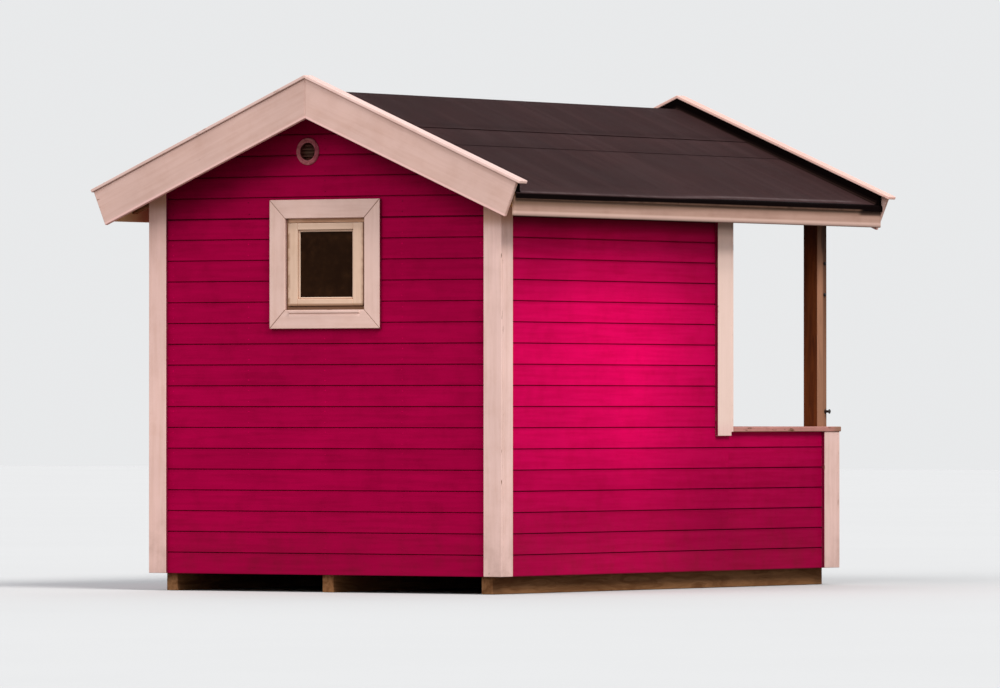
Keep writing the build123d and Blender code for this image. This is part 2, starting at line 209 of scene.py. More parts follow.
def planking(stack, place, cross, start, end, face, back, groove=joint, holes=(), cuts=(),
             width=course, origin=foot):
    """Boards side by side over cross, a range across; joints lie at origin plus whole widths.
    face and back are their outer and inner planes, groove the width and depth of the chamfer
    at a joint, and holes a list of (along from, along to, across from, across to)."""
    low, high = cross
    wide, deep = groove
    inward = 1 if back > face else -1
    cut = face + inward * deep
    first = floor((low - origin) / width + 1e-4)
    last = ceil((high - origin) / width - 1e-4)
    for index in range(first, last):
        bottom = max(low, origin + index * width)
        top = min(high, origin + (index + 1) * width)
        tone, shift = fresh()
        front = face + inward * dice.uniform(0, 0.0008)
        edges = {bottom, top}
        edges |= {h for hole in holes for h in hole[2:] if bottom < h < top}
        edges |= {c for c in cuts if bottom < c < top}
        edges = sorted(edges)
        for a, b in zip(edges, edges[1:]):
            outline = [(a, back), (a, front)]
            if a == bottom and bottom > low + 1e-6:
                outline = [(a + open_joint, back), (a + open_joint, cut), (a + wide, front)]
            if b == top and top < high - 1e-6:
                outline += [(b - wide, front), (b - open_joint, cut), (b - open_joint, back)]
            else:
                outline += [(b, front), (b, back)]
            spans = [(start, end)]
            for h0, h1, c0, c1 in holes:
                if c0 < (a + b) / 2 < c1:
                    spans = [part for s, e in spans for part in ((s, h0), (h1, e))]
            for s, e in spans:
                lengths = [at(e, c) - at(s, c) for c in (a, b)]
                if min(lengths) > -1e-6 and max(lengths) > 0.02:
                    prism(stack, place, outline, s, e, tone, shift)


def stick(stack, low, high, along, bevel):
    """A squared timber between two corners, its long edges and ends slightly rounded."""
    low = Vector(low)
    size = Vector(high) - low
    order = sorted(range(3), key=lambda axis: (axis != along, -size[axis]))
    bm = bmesh.new()
    bmesh.ops.create_cube(bm, size=1)
    for vert in bm.verts:
        vert.co = Vector(low[k] + (vert.co[k] + 0.5) * size[k] for k in range(3))
    add_bevelled(stack, bm, bevel, order)


def islands(bm):
    """The mesh's vertices in groups that hang together."""
    seen = set()
    for begin in bm.verts:
        if begin in seen:
            continue
        island = []
        queue = [begin]
        seen.add(begin)
        while queue:
            vert = queue.pop()
            island.append(vert)
            for edge in vert.link_edges:
                other = edge.other_vert(vert)
                if other not in seen:
                    seen.add(other)
                    queue.append(other)
        yield island


def board_axes(island, faces):
    """Along a board's longest edge, or the first of several, across it, and through its
    broadest face."""
    longest = max({e for v in island for e in v.link_edges}, key=lambda e: (e.calc_length(), -e.index))
    along = (longest.verts[1].co - longest.verts[0].co).normalized()
    broad = max((f for f in faces if abs(f.normal.dot(along)) < 0.2), key=lambda f: f.calc_area())
    through = (broad.normal - along * broad.normal.dot(along)).normalized()
    return [along, through.cross(along), through]


def add_bevelled(stack, bm, bevel, order=None):
    """Bevels a mesh of one or more boards and adds each to the stack."""
    edges = [e for e in bm.edges if len(e.link_faces) == 2 and e.calc_face_angle(0) > 0.3]
    bmesh.ops.bevel(bm, geom=edges, offset=bevel, segments=1, affect="EDGES", clamp_overlap=True)
    bm.edges.index_update()
    for island in islands(bm):
        members = set(island)
        faces = [f for f in bm.faces if f.verts[0] in members]
        if order:
            axes = [Vector(1 if k == axis else 0 for k in range(3)) for axis in order]
        else:
            axes = board_axes(island, faces)
        points = [v.co.copy() for v in island]
        where = {v: i for i, v in enumerate(island)}
        stack.add(points, [[where[v] for v in f.verts] for f in faces], *fitted(points, axes), *fresh())
    bm.free()


def timbers(name, node, material, slot, bevel):
    """A CAD node of plain timbers with their edges eased and their grain known."""
    stack = Stack()
    bm = bmesh.new()
    bm.from_mesh(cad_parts[node].data)
    bmesh.ops.remove_doubles(bm, verts=bm.verts, dist=1e-5)
    bmesh.ops.dissolve_limit(bm, angle_limit=0.01, verts=bm.verts, edges=bm.edges)
    add_bevelled(stack, bm, bevel)
    stack.make(name, material, slot, node)


# Materials

def maths(kind, turned=False):
    """A method of Value that makes one kind of Math node, turned with its operands swapped."""
    def method(self, *other):
        return self.nodes.math(kind, *((*other, self) if turned else (self, *other)))
    return method


class Value:
    """What a node gives out. Arithmetic and comparisons on it make Math nodes."""

    def __init__(self, nodes, socket):
        self.nodes = nodes
        self.socket = socket

    __add__ = maths("ADD")
    __sub__ = maths("SUBTRACT")
    __rsub__ = maths("SUBTRACT", turned=True)
    __mul__ = maths("MULTIPLY")
    __truediv__ = maths("DIVIDE")
    __lt__ = maths("LESS_THAN")
    __gt__ = maths("GREATER_THAN")
    __abs__ = maths("ABSOLUTE")


class Nodes:
    """A material's node tree, with one short call for each kind of node used. A colour is
    written as the 0 to 255 values that a picture shows."""

    def __init__(self, name):
        self.material = bpy.data.materials.new(name)
        self.material.use_nodes = True
        self.tree = self.material.node_tree
        self.tree.nodes.clear()
        self.shader = self.node("BsdfPrincipled")
        self.tree.links.new(self.shader.outputs["BSDF"], self.node("OutputMaterial").inputs["Surface"])

    def put(self, socket, value):
        if isinstance(value, Value):
            self.tree.links.new(value.socket, socket)
        elif socket.type == "RGBA":
            socket.default_value = linear(*value)
        else:
            socket.default_value = value

    def node(self, kind, inputs=(), **settings):
        made = self.tree.nodes.new("ShaderNode" + kind)
        for key, value in settings.items():
            setattr(made, key, value)
        for key, value in dict(inputs).items():
            self.put(made.inputs[key], value)
        return made

    def value(self, kind, output, inputs=(), **settings):
        return Value(self, self.node(kind, inputs, **settings).outputs[output])

    def attribute(self, name, output="Vector"):
        return self.value("Attribute", output, attribute_name=name)

    def place(self):
        return self.value("TexCoord", "Object")

    def split(self, vector):
        return [Value(self, part) for part in self.node("SeparateXYZ", {"Vector": vector}).outputs]

    def xyz(self):
        return self.split(self.place())

    def facing(self):
        return self.split(self.value("NewGeometry", "Normal"))

    def scaled(self, vector, by):
        return self.value("Mapping", "Vector", {"Vector": vector, "Scale": by})

    def reach(self, x, y):
        """The length of a flat vector."""
        flat = self.value("CombineXYZ", 0, {"X": x, "Y": y})
        return self.value("VectorMath", "Value", {"Vector": flat}, operation="LENGTH")

    def noise(self, vector, scale, detail=3, rough=0.55, distortion=0):
        return self.value("TexNoise", "Fac", {"Vector": vector, "Scale": scale, "Detail": detail,
                                              "Roughness": rough, "Distortion": distortion})

    def spots(self, vector, scale):
        return self.value("TexVoronoi", "Distance", {"Vector": vector, "Scale": scale})

    def math(self, kind, *values):
        return self.value("Math", 0, dict(enumerate(values)), operation=kind)

    def most(self, a, b):
        return self.math("MAXIMUM", a, b)

    def least(self, a, b):
        return self.math("MINIMUM", a, b)

    def ramp(self, value, low, high, out_low=0, out_high=1, kind="SMOOTHSTEP"):
        return self.value("MapRange", "Result", {"Value": value, "From Min": low, "From Max": high,
                                                 "To Min": out_low, "To Max": out_high},
                          interpolation_type=kind)

    def mix(self, share, a, b, blend="MIX"):
        return self.value("Mix", 2, {0: share, 6: a, 7: b}, data_type="RGBA", blend_type=blend)

    def bright(self, colour, factor):
        """colour times a plain factor."""
        grey = self.value("CombineColor", "Color", {"Red": factor, "Green": factor, "Blue": factor})
        return self.mix(1, colour, grey, "MULTIPLY")

    def bump(self, height, distance, strength=1, **normal):
        inputs = {"Height": height, "Distance": distance, "Strength": strength, **normal}
        return self.value("Bump", "Normal", inputs)

    def finish(self, colour, rough, **fixed):
        self.put(self.shader.inputs["Base Color"], colour)
        self.put(self.shader.inputs["Roughness"], rough)
        for key, value in fixed.items():
            self.put(self.shader.inputs[key.replace("_", " ")], value)
        return self.material


WOOD_BARE = (128, 92, 66)
BLACK_FELT = (6, 2, 2)
WALL_COLOUR = (120, 8, 50)


def painted(name, colour, shade, worn=0.03, dirt=0.4, vary=0.08, gloss=0.1, bare=WOOD_BARE, extra=None):
    """Paint over wood: shade in long streaks, bare wood where worn, dirt towards the ground.
    extra takes the tree and the paint's colour and gives the colour to use."""
    n = Nodes(name)
    grain = n.attribute("grain")
    unit = n.split(n.attribute("unit"))
    tone = n.attribute("tone", "Fac")
    spot = n.place()
    height = n.split(spot)[2]
    streak = n.noise(n.scaled(grain, (2.2, 38, 38)), 1, 4, 0.6)
    fine = n.noise(n.scaled(grain, (14, 330, 330)), 1, 3, 0.6)
    patch = n.noise(spot, 1.7, 4, 0.55)
    cloud = n.noise(spot, 7, 5, 0.6)
    share = n.ramp(streak, 0.35, 0.7, 0, 0.55) + n.ramp(cloud, 0.42, 0.72, 0, 0.45)
    paint = n.mix(share, colour, shade)
    level = n.ramp(tone, 0, 1, 1 - vary / 2, 1 + vary / 2, "LINEAR")
    paint = n.bright(paint, level + n.ramp(patch, 0.3, 0.7, -0.05, 0.05))
    if extra:
        paint = extra(n, paint)
    rim = n.ramp(n.most(abs(unit[1]), abs(unit[0])), 0.93, 1)
    flake = n.noise(n.scaled(grain, (9, 60, 60)), 1, 5, 0.7)
    scar = n.ramp(flake + rim * 0.1, 0.74 - worn, 0.8 - worn)
    timber = n.mix(n.ramp(fine, 0.3, 0.7), bare, n.bright(bare, 0.55))
    body = n.mix(scar, paint, timber)
    low = n.ramp(height, 0.08, 0.62, 1, 0) * n.ramp(cloud, 0.3, 0.75, 0.25, 1)
    grime = n.bright(n.mix(0.55, body, (92, 66, 40)), 0.62)
    body = n.mix(low * dirt, body, grime)
    relief = streak * 0.6 + fine * 0.4 - scar * 0.35
    return n.finish(body, n.ramp(streak, 0.3, 0.7, 0.55, 0.7),
                    Normal=n.bump(relief, 0.0011, 0.55), Specular_IOR_Level=gloss)


def depth_under_roof(n):
    """How far a point lies below the felt's top, square to the slope."""
    x, _, z = n.xyz()
    return (ridge_z - z) * slope_cos - abs(x) * slope_sin


def halves(n, left, right):
    """One value on the -X half of the hut and another on the +X half."""
    return n.ramp(n.xyz()[0], -0.01, 0.01, left, right)


def lapped(n, paint, painted_hollow_shade, line):
    """Painted shade at the board joints: each board is darker at its top edge and in the line under its foot.
    """
    z = n.xyz()[2]
    share = n.math("FRACT", (z - foot) / course)
    upper = n.ramp(share, 0.84, 0.99, 1, painted_hollow_shade)
    lower = n.ramp(share, 0.02, 0.06, line, 1)
    return n.bright(paint, upper * lower)


def gable_painted_shade(n, paint):
    """Painted shade close under the verge and a little towards the ground."""
    deep = n.ramp(depth_under_roof(n), 0.08, 0.36, 0.64, 1)
    low = n.ramp(n.xyz()[2], 0.15, 0.55, 0.89, 1)
    return n.bright(lapped(n, paint, 0.86, 0.85), deep * low)


def side_painted_light_and_shade(n, paint):
    """Painted shade deep under the eave, towards the ground and towards the porch, and a broad painted
    highlight about the middle of the wall.
    """
    _, y, z = n.xyz()
    # Painted shadow close under the eave, painted light just below it, and a band of painted shade about 0.33
    # m below the eave's foot.
    deep = n.ramp(z, eave_foot - 0.1, eave_foot, 1, 0.27)
    deep = deep * n.ramp(z, eave_foot - 0.26, eave_foot - 0.12, 1, 1.16)
    painted_shade_band = abs(z - (eave_foot - 0.33))
    deep = deep * n.ramp(painted_shade_band, 0.02, 0.2, 0.8, 1)
    # Painted shade towards the ground and towards the porch, a little lighter again at the porch end.
    deep = deep * n.ramp(z, 0.45, 1.15, 0.69, 1)
    deep = deep * n.ramp(y, -0.45, 0.4, 0.78, 1)
    deep = deep * n.ramp(y, -0.5, -0.9, 1, 1.13)
    # A broad painted highlight about the middle of the wall.
    reach = n.reach(y - 0.5, z - 1.4)
    painted_highlight = n.ramp(reach, 0, 1.1, 1.13, 0.9) * n.ramp(reach, 0.9, 2.1, 1, 0.82)
    return n.bright(lapped(n, paint, 0.8, 0.6), deep * painted_highlight)


def lower_edge_painted_highlight(n, paint):
    """A paler, pinker painted highlight along a bargeboard's lower edge, and the +X half a little darker."""
    # Painted highlight along the lower edge.
    band = n.ramp(depth_under_roof(n), 0.133, 0.14)
    body = n.mix(band * 0.75, paint, (234, 190, 184))
    return n.bright(body, halves(n, 1, 0.95))


def fascia_painted_light(n, paint):
    """Painted shadow under the felt's drip edge, a painted highlight near the lower edge with painted shade
    on its lowest part, and no paint on the back.
    """
    x, y, z = n.xyz()
    raised = z + n.ramp(y, -0.9, 1.4, -0.006, 0.008)
    # Painted shadow of the drip edge along the fascia's top, reaching a little lower towards +Y.
    stain = n.ramp(raised, felt_low.z - 0.048, felt_low.z - 0.01)
    body = n.mix(stain * 0.86, paint, (104, 78, 62))
    tarred = n.ramp(y, *porch_end) * n.ramp(z, felt_low.z - 0.032, felt_low.z - 0.018)
    body = n.mix(tarred * 0.85, body, (44, 24, 16))
    # A painted highlight near the lower edge, and painted shade on its lowest 2 cm.
    foot_painted_highlight = n.ramp(z, eave_foot + 0.034, eave_foot + 0.022)
    body = n.mix(foot_painted_highlight * 0.5, body, (222, 188, 176))
    body = n.bright(body, n.ramp(z, eave_foot, eave_foot + 0.021, 0.42, 1))
    back = x * n.facing()[0] < -0.5
    return n.mix(back, body, (219, 183, 137))


def wall_coloured_edges_and_painted_light(n, paint):
    """Wall paint carried over the edges that meet the cladding, and painted light and shade under the eave.
    """
    x, y, z = n.xyz()
    nx, ny, _ = n.facing()
    rear_edge = (abs(x) < half_width - corner_cover) * (y > rear - 0.001) * (abs(nx) > 0.9)
    side_edge = (abs(x) > half_width + 0.0005) * (y < 0) * (ny > 0.9)
    # Darker towards the porch front, and the +X rear boards browner.
    body = n.bright(paint, n.ramp(y, porch_front, 0, 0.9, 1, "LINEAR"))
    at_rear = y > room_front + 1
    body = n.mix(at_rear * halves(n, 0, 0.12), body, (176, 120, 100))
    # Painted light on the rear boards in the roof's shadow, below a browner top.
    below = halves(n, 2.14, 2.26) - z
    painted_lift = n.ramp(below, 0.02, 0.08, 0, 0.23) * n.ramp(below, 0.34, 0.16)
    body = n.bright(body, painted_lift * at_rear + 1)
    body = n.mix(n.ramp(below, 0.08, 0.01) * at_rear * 0.45, body, (196, 133, 89))
    # Painted light on the boards above the rail: paler, brighter under the eave, with painted shade close
    # under it.
    above_rail = (1 - at_rear) * n.ramp(z, 0.9, 1)
    body = n.mix(above_rail * 0.5, body, (231, 209, 196))
    under = eave_foot - z
    pale = n.ramp(under, 0.045, 0.085, 0, 0.27) * n.ramp(under, 0.26, 0.17)
    pale = pale + n.ramp(under, 0.05, 0.01, 1, 0.5)
    body = n.bright(body, above_rail * (pale - 1) + 1)
    return n.mix(n.most(rear_edge, side_edge), body, WALL_COLOUR)


def window_edges(n, paint):
    """Dirt in the mitres of the window's trim, painted light under the sill bead, and wall paint carried over
    its outer edges.
    """
    x, _, z = n.xyz()
    middle = (trim_low + trim_high) / 2
    half = (trim_high - trim_low) / 2
    inward_x = half.x - abs(x - middle.x)
    inward_z = half.z - abs(z - middle.z)
    off = abs(inward_x - inward_z)
    body = n.mix(n.ramp(off, 0.0015, 0.006, 0.55, 0), paint, (132, 100, 84))
    # Painted light on the trim under the sill bead, where its shadow falls.
    above_sill = z - (trim_low.z + 0.089)
    painted_light_under_sill = n.ramp(above_sill, -0.024, -0.006) * n.ramp(above_sill, 0, -0.001)
    painted_light_under_sill = painted_light_under_sill * n.ramp(inward_x, 0.134, 0.142)
    body = n.bright(body, painted_light_under_sill * 0.36 + 1)
    outside = n.least(inward_x, inward_z) < 0.0012
    return n.mix(outside, body, WALL_COLOUR)


def cap_painted_shade(n, paint):
    """Painted shade: the upper face is duller than the edges, the right slope's cap duller still.
    The porch gable's caps are a little browner."""
    # Painted shade on the upper face and, more, on the caps of the +X half.
    top = n.ramp(n.facing()[2], 0.4, 0.8, 1, 0.76)
    body = n.bright(paint, top * halves(n, 1, 0.86))
    return n.mix(n.ramp(n.xyz()[1], 0.5, -0.5, 0, 0.45), body, (216, 160, 144))


def rail_browner_past_post(n, paint):
    """The rail is browner past the corner post."""
    bare = n.ramp(n.xyz()[1], post_low.y + 0.07, post_low.y - 0.03)
    return n.mix(bare * 0.8, paint, (134, 100, 80))


def sash_shade_and_grime(n, paint):
    """Painted shade under the lining's head and along the foot, with grime down the outer edges,
    most of it on the stile nearer to +X."""
    x, _, z = n.xyz()
    # Painted shade under the lining's head.
    body = n.bright(paint, n.ramp(z, sash_high.z - 0.06, sash_high.z - 0.01, 1, 0.84))
    patch = n.ramp(n.noise(n.place(), 24, 4, 0.6), 0.44, 0.62, 0.35, 1)
    right_stile = n.ramp(sash_high.x - x, 0.024, 0.003, 0, 0.85)
    left_stile = n.ramp(x - sash_low.x, 0.018, 0.003, 0, 0.4)
    # Painted shade along the foot, where the gap under the sash lies in shadow.
    painted_shade_along_foot = n.ramp(z, sash_low.z + 0.018, sash_low.z + 0.008, 0, 0.85)
    grime = n.most(n.most(right_stile, left_stile) * patch, painted_shade_along_foot)
    return n.mix(grime, body, (142, 104, 78))


def lining_painted_shade(n, body):
    """Painted shade in the groove under the sash and, less of it, down both sides."""
    x, _, z = n.xyz()
    side = n.least(lining_high.x - x, x - lining_low.x)
    body = n.mix(n.ramp(side, 0.02, 0.012, 0, 0.7), body, (112, 80, 58))
    return n.mix(n.ramp(z, lining_low.z + 0.04, lining_low.z + 0.022), body, (124, 90, 68))


def timber_finish(name, colour, shade, vary, gloss=0.2, rough=0.72, depth=0.0012, painted_lit_side=None,
                  extra=None):
    """Bare or stained wood with growth rings, pores and a few knots; outward faces may take a lighter copy,
    painted light.
    """
    n = Nodes(name)
    grain = n.attribute("grain")
    tone = n.attribute("tone", "Fac")
    warp = n.noise(n.scaled(grain, (1.6, 9, 9)), 1, 3, 0.5)
    bent = n.value("CombineXYZ", 0, {"Y": warp * 7})
    moved = n.value("VectorMath", 0, {0: n.scaled(grain, (0.9, 26, 26)), 1: bent}, operation="ADD")
    rings = n.noise(moved, 1, 4, 0.62)
    fine = n.noise(n.scaled(grain, (16, 380, 380)), 1, 3, 0.6)
    body = n.mix(n.ramp(rings, 0.32, 0.68), colour, shade)
    body = n.bright(body, n.ramp(fine, 0.2, 0.8, 0.86, 1.1))
    body = n.bright(body, n.ramp(tone, 0, 1, 1 - vary / 2, 1 + vary / 2, "LINEAR"))
    # The faces that look away from the hut take the lighter copy: painted light.
    if painted_lit_side:
        out = n.xyz()[0] * n.facing()[0]
        body = n.mix(n.ramp(out, 0.3, 0.9), body, n.bright(painted_lit_side, n.ramp(rings, 0.3, 0.7, 0.85, 1.1)))
    if extra:
        body = extra(n, body)
    knot = n.ramp(n.spots(n.scaled(grain, (1.3, 5.2, 0.02)), 1), 0.07, 0.15, 1, 0)
    body = n.mix(knot * 0.75, body, n.bright(shade, 0.45))
    relief = rings * 0.5 + fine * 0.5 - knot * 0.3
    return n.finish(body, n.ramp(rings, 0.3, 0.7, rough - 0.06, rough + 0.1),
                    Normal=n.bump(relief, depth, 0.6), Specular_IOR_Level=gloss)


def blackened_edge(n, body):
    """Bitumen has blackened the roof boards past the fascia's face."""
    past = abs(n.xyz()[0]) > fascia_high.x + 0.0002
    return n.mix(past * 0.92, body, (30, 18, 12))


def shaded_post(n, body):
    """Painted shadow under the eave and a darker band along the front edge, most of all in the upper
    half; below z 1.6, painted shade on the outward face and painted light on the others.
    """
    x, y, z = n.xyz()
    # Painted shadow under the eave.
    top = n.ramp(z, eave_foot - 0.24, eave_foot, 1, 0.36)
    edge = n.ramp(y, post_low.y + 0.05, post_low.y + 0.034)
    edge = edge * n.ramp(z, 1.15, 1.75, 0.25, 0.85)
    # Below z 1.6, painted shade on the outward face and painted light on the others.
    out = x * n.facing()[0]
    change = 0.3 - n.ramp(out, 0.3, 0.9) * 0.44
    low = n.ramp(z, 1.6, 1.2) * change + 1
    return n.bright(n.mix(edge, body, (84, 52, 34)), top * low)


def felt_finish(name, colour, pale, worn, grit=0.5):
    """Mineral felt: fine grit, faint runs down the slope and paler worn areas, the ridge sheet and the
    rear a little darker, with painted shade and highlights at the laps and along the eave.
    """
    n = Nodes(name)
    spot = n.place()
    x, y, z = n.split(spot)
    run = n.noise(n.scaled(spot, (0.8, 7, 0.8)), 1, 4, 0.6, 0.6)
    cloud = n.noise(spot, 2.6, 5, 0.6)
    sand = n.noise(spot, 620, 2, 0.6)
    chip = n.spots(spot, 900)
    share = n.ramp(run, 0.4, 0.68, 0, 0.6) + n.ramp(cloud, 0.42, 0.7, 0, 0.4)
    body = n.mix(share, colour, pale)
    body = n.bright(body, n.ramp(sand, 0.25, 0.75, 0.72, 1.28))
    eave = n.ramp(abs(x), fascia_high.x - 0.16, fascia_high.x - 0.01)
    washed = eave * n.ramp(cloud, 0.3, 0.7, 0.35, 0.9)
    body = n.mix(washed, body, worn)
    down = abs(x) / slope_cos
    level = n.ramp(down, ridge_reach - 0.02, ridge_reach + 0.02, 0.93, 1) * n.ramp(y, 0, 0.7, 1, 0.9)
    # At each lap, painted shade just above the upper strip's edge, a painted highlight just below it, and a
    # thin black seam of bitumen.
    for edge, before, after, deep, painted_lift in ((ridge_reach, -0.05, -0.005, 0.14, 0.08),
                                            (lap[1], -0.03, 0.06, 0.09, 0.02)):
        off = down - edge
        painted_dip = n.ramp(off, -0.1, before, 0, deep) * n.ramp(off, after, before)
        lip = n.ramp(off, -0.005, 0.03, 0, painted_lift) * n.ramp(off, 0.12, 0.04)
        level = level * (1 - painted_dip + lip)
        seam = n.ramp(off, 0, 0.002) * n.ramp(off, 0.016, 0.005)
        seam = seam * n.ramp(run, 0.3, 0.6, 0.06, 0.2)
        body = n.mix(seam, body, BLACK_FELT)
    porchward = n.ramp(y, 0.5, -0.4)
    out = abs(x) - felt_high.x
    leant = out + (porchward * 0.034 - 0.012)
    # Painted shade in a band up the slope from the eave.
    painted_hollow_shade = n.ramp(leant, -0.12, -0.075, 0, 0.08) * n.ramp(leant, -0.045, -0.075)
    body = n.bright(body, level * (1 - painted_hollow_shade))
    # Painted highlight where the felt bends over the eave, fading out at the porch end.
    bend = n.ramp(leant, -0.05, -0.034) * n.ramp(leant, -0.012, -0.028)
    bend = bend * (n.ramp(run, 0.35, 0.65, 0.25, 0.7) + porchward * 0.3)
    body = n.mix(bend * n.ramp(y, -1.9, -1.6), body, (80, 66, 66))
    edge = n.ramp(out + (porchward * 0.017 - 0.008), -0.016, -0.004, 0, 0.96)
    upright = n.ramp(n.facing()[2], 0.3, 0.62, 0.96, 0)
    body = n.mix(n.most(edge, upright), body, BLACK_FELT)
    hem_z = z + n.ramp(y, 0.4, 1.4, 0, 0.006)
    hem = n.ramp(hem_z, felt_low.z + 0.012, felt_low.z + 0.006) * n.ramp(run, 0.3, 0.6, 0.5, 0.9)
    body = n.mix(hem * n.ramp(y, *porch_end[::-1]), body, (92, 68, 56))
    relief = sand * 0.6 + chip * 0.5
    soft = n.bump(n.noise(spot, 5, 4, 0.55), 0.012, 0.35)
    return n.finish(body, n.ramp(cloud, 0.3, 0.7, 0.82, 0.96),
                    Normal=n.bump(relief, 0.0012, grit, Normal=soft), Specular_IOR_Level=0.02)


def dark_bore_and_flange_shade(n, body):
    """The vent's bore and slats are dark, most of all at the rim, and the flange is a darker magenta towards
    -X, painted shade.
    """
    x, _, z = n.xyz()
    reach = n.reach(x - vent_x, z - vent_z)
    dark = n.mix(n.ramp(reach, 0.012, 0.05), (90, 60, 48), (72, 26, 19))
    # Painted shade on the flange towards -X.
    ring = n.mix(n.ramp(x, vent_x - 0.025, vent_x - 0.072, 0, 0.6), body, (112, 10, 44))
    return n.mix(n.ramp(reach, 0.052, 0.0495), ring, dark)


def metal_finish(name, colour, stain, rough, gloss=0.4, extra=None):
    """Dull metal with blotches of another colour."""
    n = Nodes(name)
    spot = n.place()
    cloud = n.noise(spot, 38, 5, 0.65)
    fine = n.noise(spot, 420, 3, 0.6)
    body = n.mix(n.ramp(cloud, 0.42, 0.66), colour, stain)
    body = n.bright(body, n.ramp(fine, 0.2, 0.8, 0.82, 1.12))
    if extra:
        body = extra(n, body)
    relief = cloud * 0.6 + fine * 0.3
    return n.finish(body, n.ramp(cloud, 0.3, 0.7, rough - 0.08, rough + 0.12),
                    Normal=n.bump(relief, 0.0007, 0.5), Metallic=0.1, Specular_IOR_Level=gloss)


def glass_finish(name):
    """Glass with a film of dust, its opaque dark brown the painted shade of the unlit room behind."""
    n = Nodes(name)
    spot = n.place()
    dust = n.noise(spot, 9, 5, 0.65)
    wipe = n.noise(n.scaled(spot, (3, 1, 14)), 1, 3, 0.5)
    share = n.ramp(dust, 0.35, 0.75) * n.ramp(wipe, 0.3, 0.7, 0.2, 1)
    # The dark brown stands in for the room's shade behind the pane: painted shade.
    body = n.mix(share, (32, 15, 4), (54, 32, 16))
    return n.finish(body, n.ramp(share, 0, 1, 0.06, 0.26), Normal=n.bump(dust, 0.0004, 0.25),
                    IOR=1.45, Specular_IOR_Level=0.05)


# The gables and the porch's front walls take a darker copy of the wall paint: painted shade.
gable_paint_shaded_copy = painted("gable_paint_shaded_copy", (160, 0, 60), (140, 0, 50), -0.06, 0.13, 0.1, 0.02,
                      extra=gable_painted_shade)
wall_paint = painted("wall_paint", (214, 0, 86), (194, 0, 72), -0.06, 0.18, 0.1, 0.02, extra=side_painted_light_and_shade)
inside_paint = painted("inside_paint", (186, 0, 74), (164, 0, 60), -0.04, 0.2, 0.12, 0.05)
trim_paint = painted("trim_paint", (222, 188, 178), (208, 172, 160))
corner_paint = painted("corner_paint", (229, 194, 186), (214, 178, 167), extra=wall_coloured_edges_and_painted_light)
window_paint = painted("window_paint", (220, 187, 177), (208, 173, 161), dirt=0.2, extra=window_edges)
barge_paint = painted("barge_paint", (210, 176, 166), (198, 162, 150), extra=lower_edge_painted_highlight)
fascia_paint = painted("fascia_paint", (176, 142, 128), (162, 128, 114), gloss=0.08, extra=fascia_painted_light)
cap_paint = painted("cap_paint", (230, 197, 189), (215, 180, 170), 0.03, 0.2, 0.06, 0.12,
                    extra=cap_painted_shade)
sash_paint = painted("sash_paint", (221, 188, 166), (205, 171, 147), 0.02, 0.2, 0.06, 0.14,
                     extra=sash_shade_and_grime)
rail_paint = painted("rail_paint", (184, 130, 121), (161, 106, 98), 0.05, 0.2, bare=(122, 86, 60),
                     extra=rail_browner_past_post)
lining_wood = timber_finish("lining_timber", (204, 162, 134), (182, 138, 110), 0.14, extra=lining_painted_shade)
post_wood = timber_finish("post_timber", (108, 54, 18), (79, 35, 9), 0.14, painted_lit_side=(157, 111, 85),
                          extra=shaded_post)
rough_wood = timber_finish("rough_timber", (140, 98, 64), (104, 66, 38), 0.26, 0.1, 0.8, 0.002,
                           extra=blackened_edge)
floor_wood = timber_finish("floor_timber", (168, 130, 92), (132, 96, 62), 0.2)
deck_wood = timber_finish("deck_timber", (142, 124, 106), (108, 90, 72), 0.26, 0.1, 0.82, 0.002)
roof_felt = felt_finish("roofing_felt", (46, 30, 30), (56, 38, 38), (59, 41, 41))
dark_felt = felt_finish("felt_edge", (24, 13, 11), (36, 23, 20), (36, 23, 20), 0.6)
iron = metal_finish("black_iron", (30, 27, 26), (66, 40, 28), 0.52)
zinc = metal_finish("vent_metal", (174, 96, 102), (138, 64, 70), 0.6, 0.3, dark_bore_and_flange_shade)
pane = glass_finish("window_glass")

# Where boards lie: each takes (along, across, through) in metres

def facing_y(a, c, d):
    return Vector((a, d, c))


def facing_x(a, c, d):
    return Vector((d, a, c))


def slope_place(side):
    """Along the ridge, down the slope and below the felt's top."""
    def place(a, c, d):
        return Vector((side * (c * slope_cos - d * slope_sin), a, ridge_z - c * slope_sin - d * slope_cos))
    return place


def lying(a, c, d):
    return Vector((a, c, d))


def rake(depth, limit):
    """How far out a gable reaches at a height, under the plane at a depth."""
    def reach(z):
        return max(0, min(limit, (ridge_z - depth / slope_cos - z) / slope_tan))
    return reach


def gable(stack, foot_z, limit, face, back, holes=(), origin=foot):
    """Boards of a gable's shape under the roof boards, no wider than limit each way."""
    reach = rake(roof_under, limit)
    top = ridge_z - roof_under / slope_cos
    planking(stack, facing_y, (foot_z, top - 0.001), lambda z: -reach(z), reach, face, back,
             holes=holes, cuts=[roof_z(roof_under, limit)], origin=origin)


# Rear wall: cladding outside, boards inside
window = (lining_low.x, lining_high.x, lining_low.z, lining_high.z)
vent_cut = 0.053  # half the square left out of the boards for the vent
rear_holes = [window, (vent_x - vent_cut, vent_x + vent_cut, vent_z - vent_cut, vent_z + vent_cut)]
outer = Stack()
gable(outer, foot, half_width, rear, rear - skin, rear_holes)
outer.make("rear_cladding", gable_paint_shaded_copy, "wall_paint", "rear_wall")
inner = Stack()
gable(inner, floor_top, frame_half, rear_low.y, rear - skin, rear_holes, between)
inner.make("rear_lining", rough_wood, "rough_timber", "rear_wall")

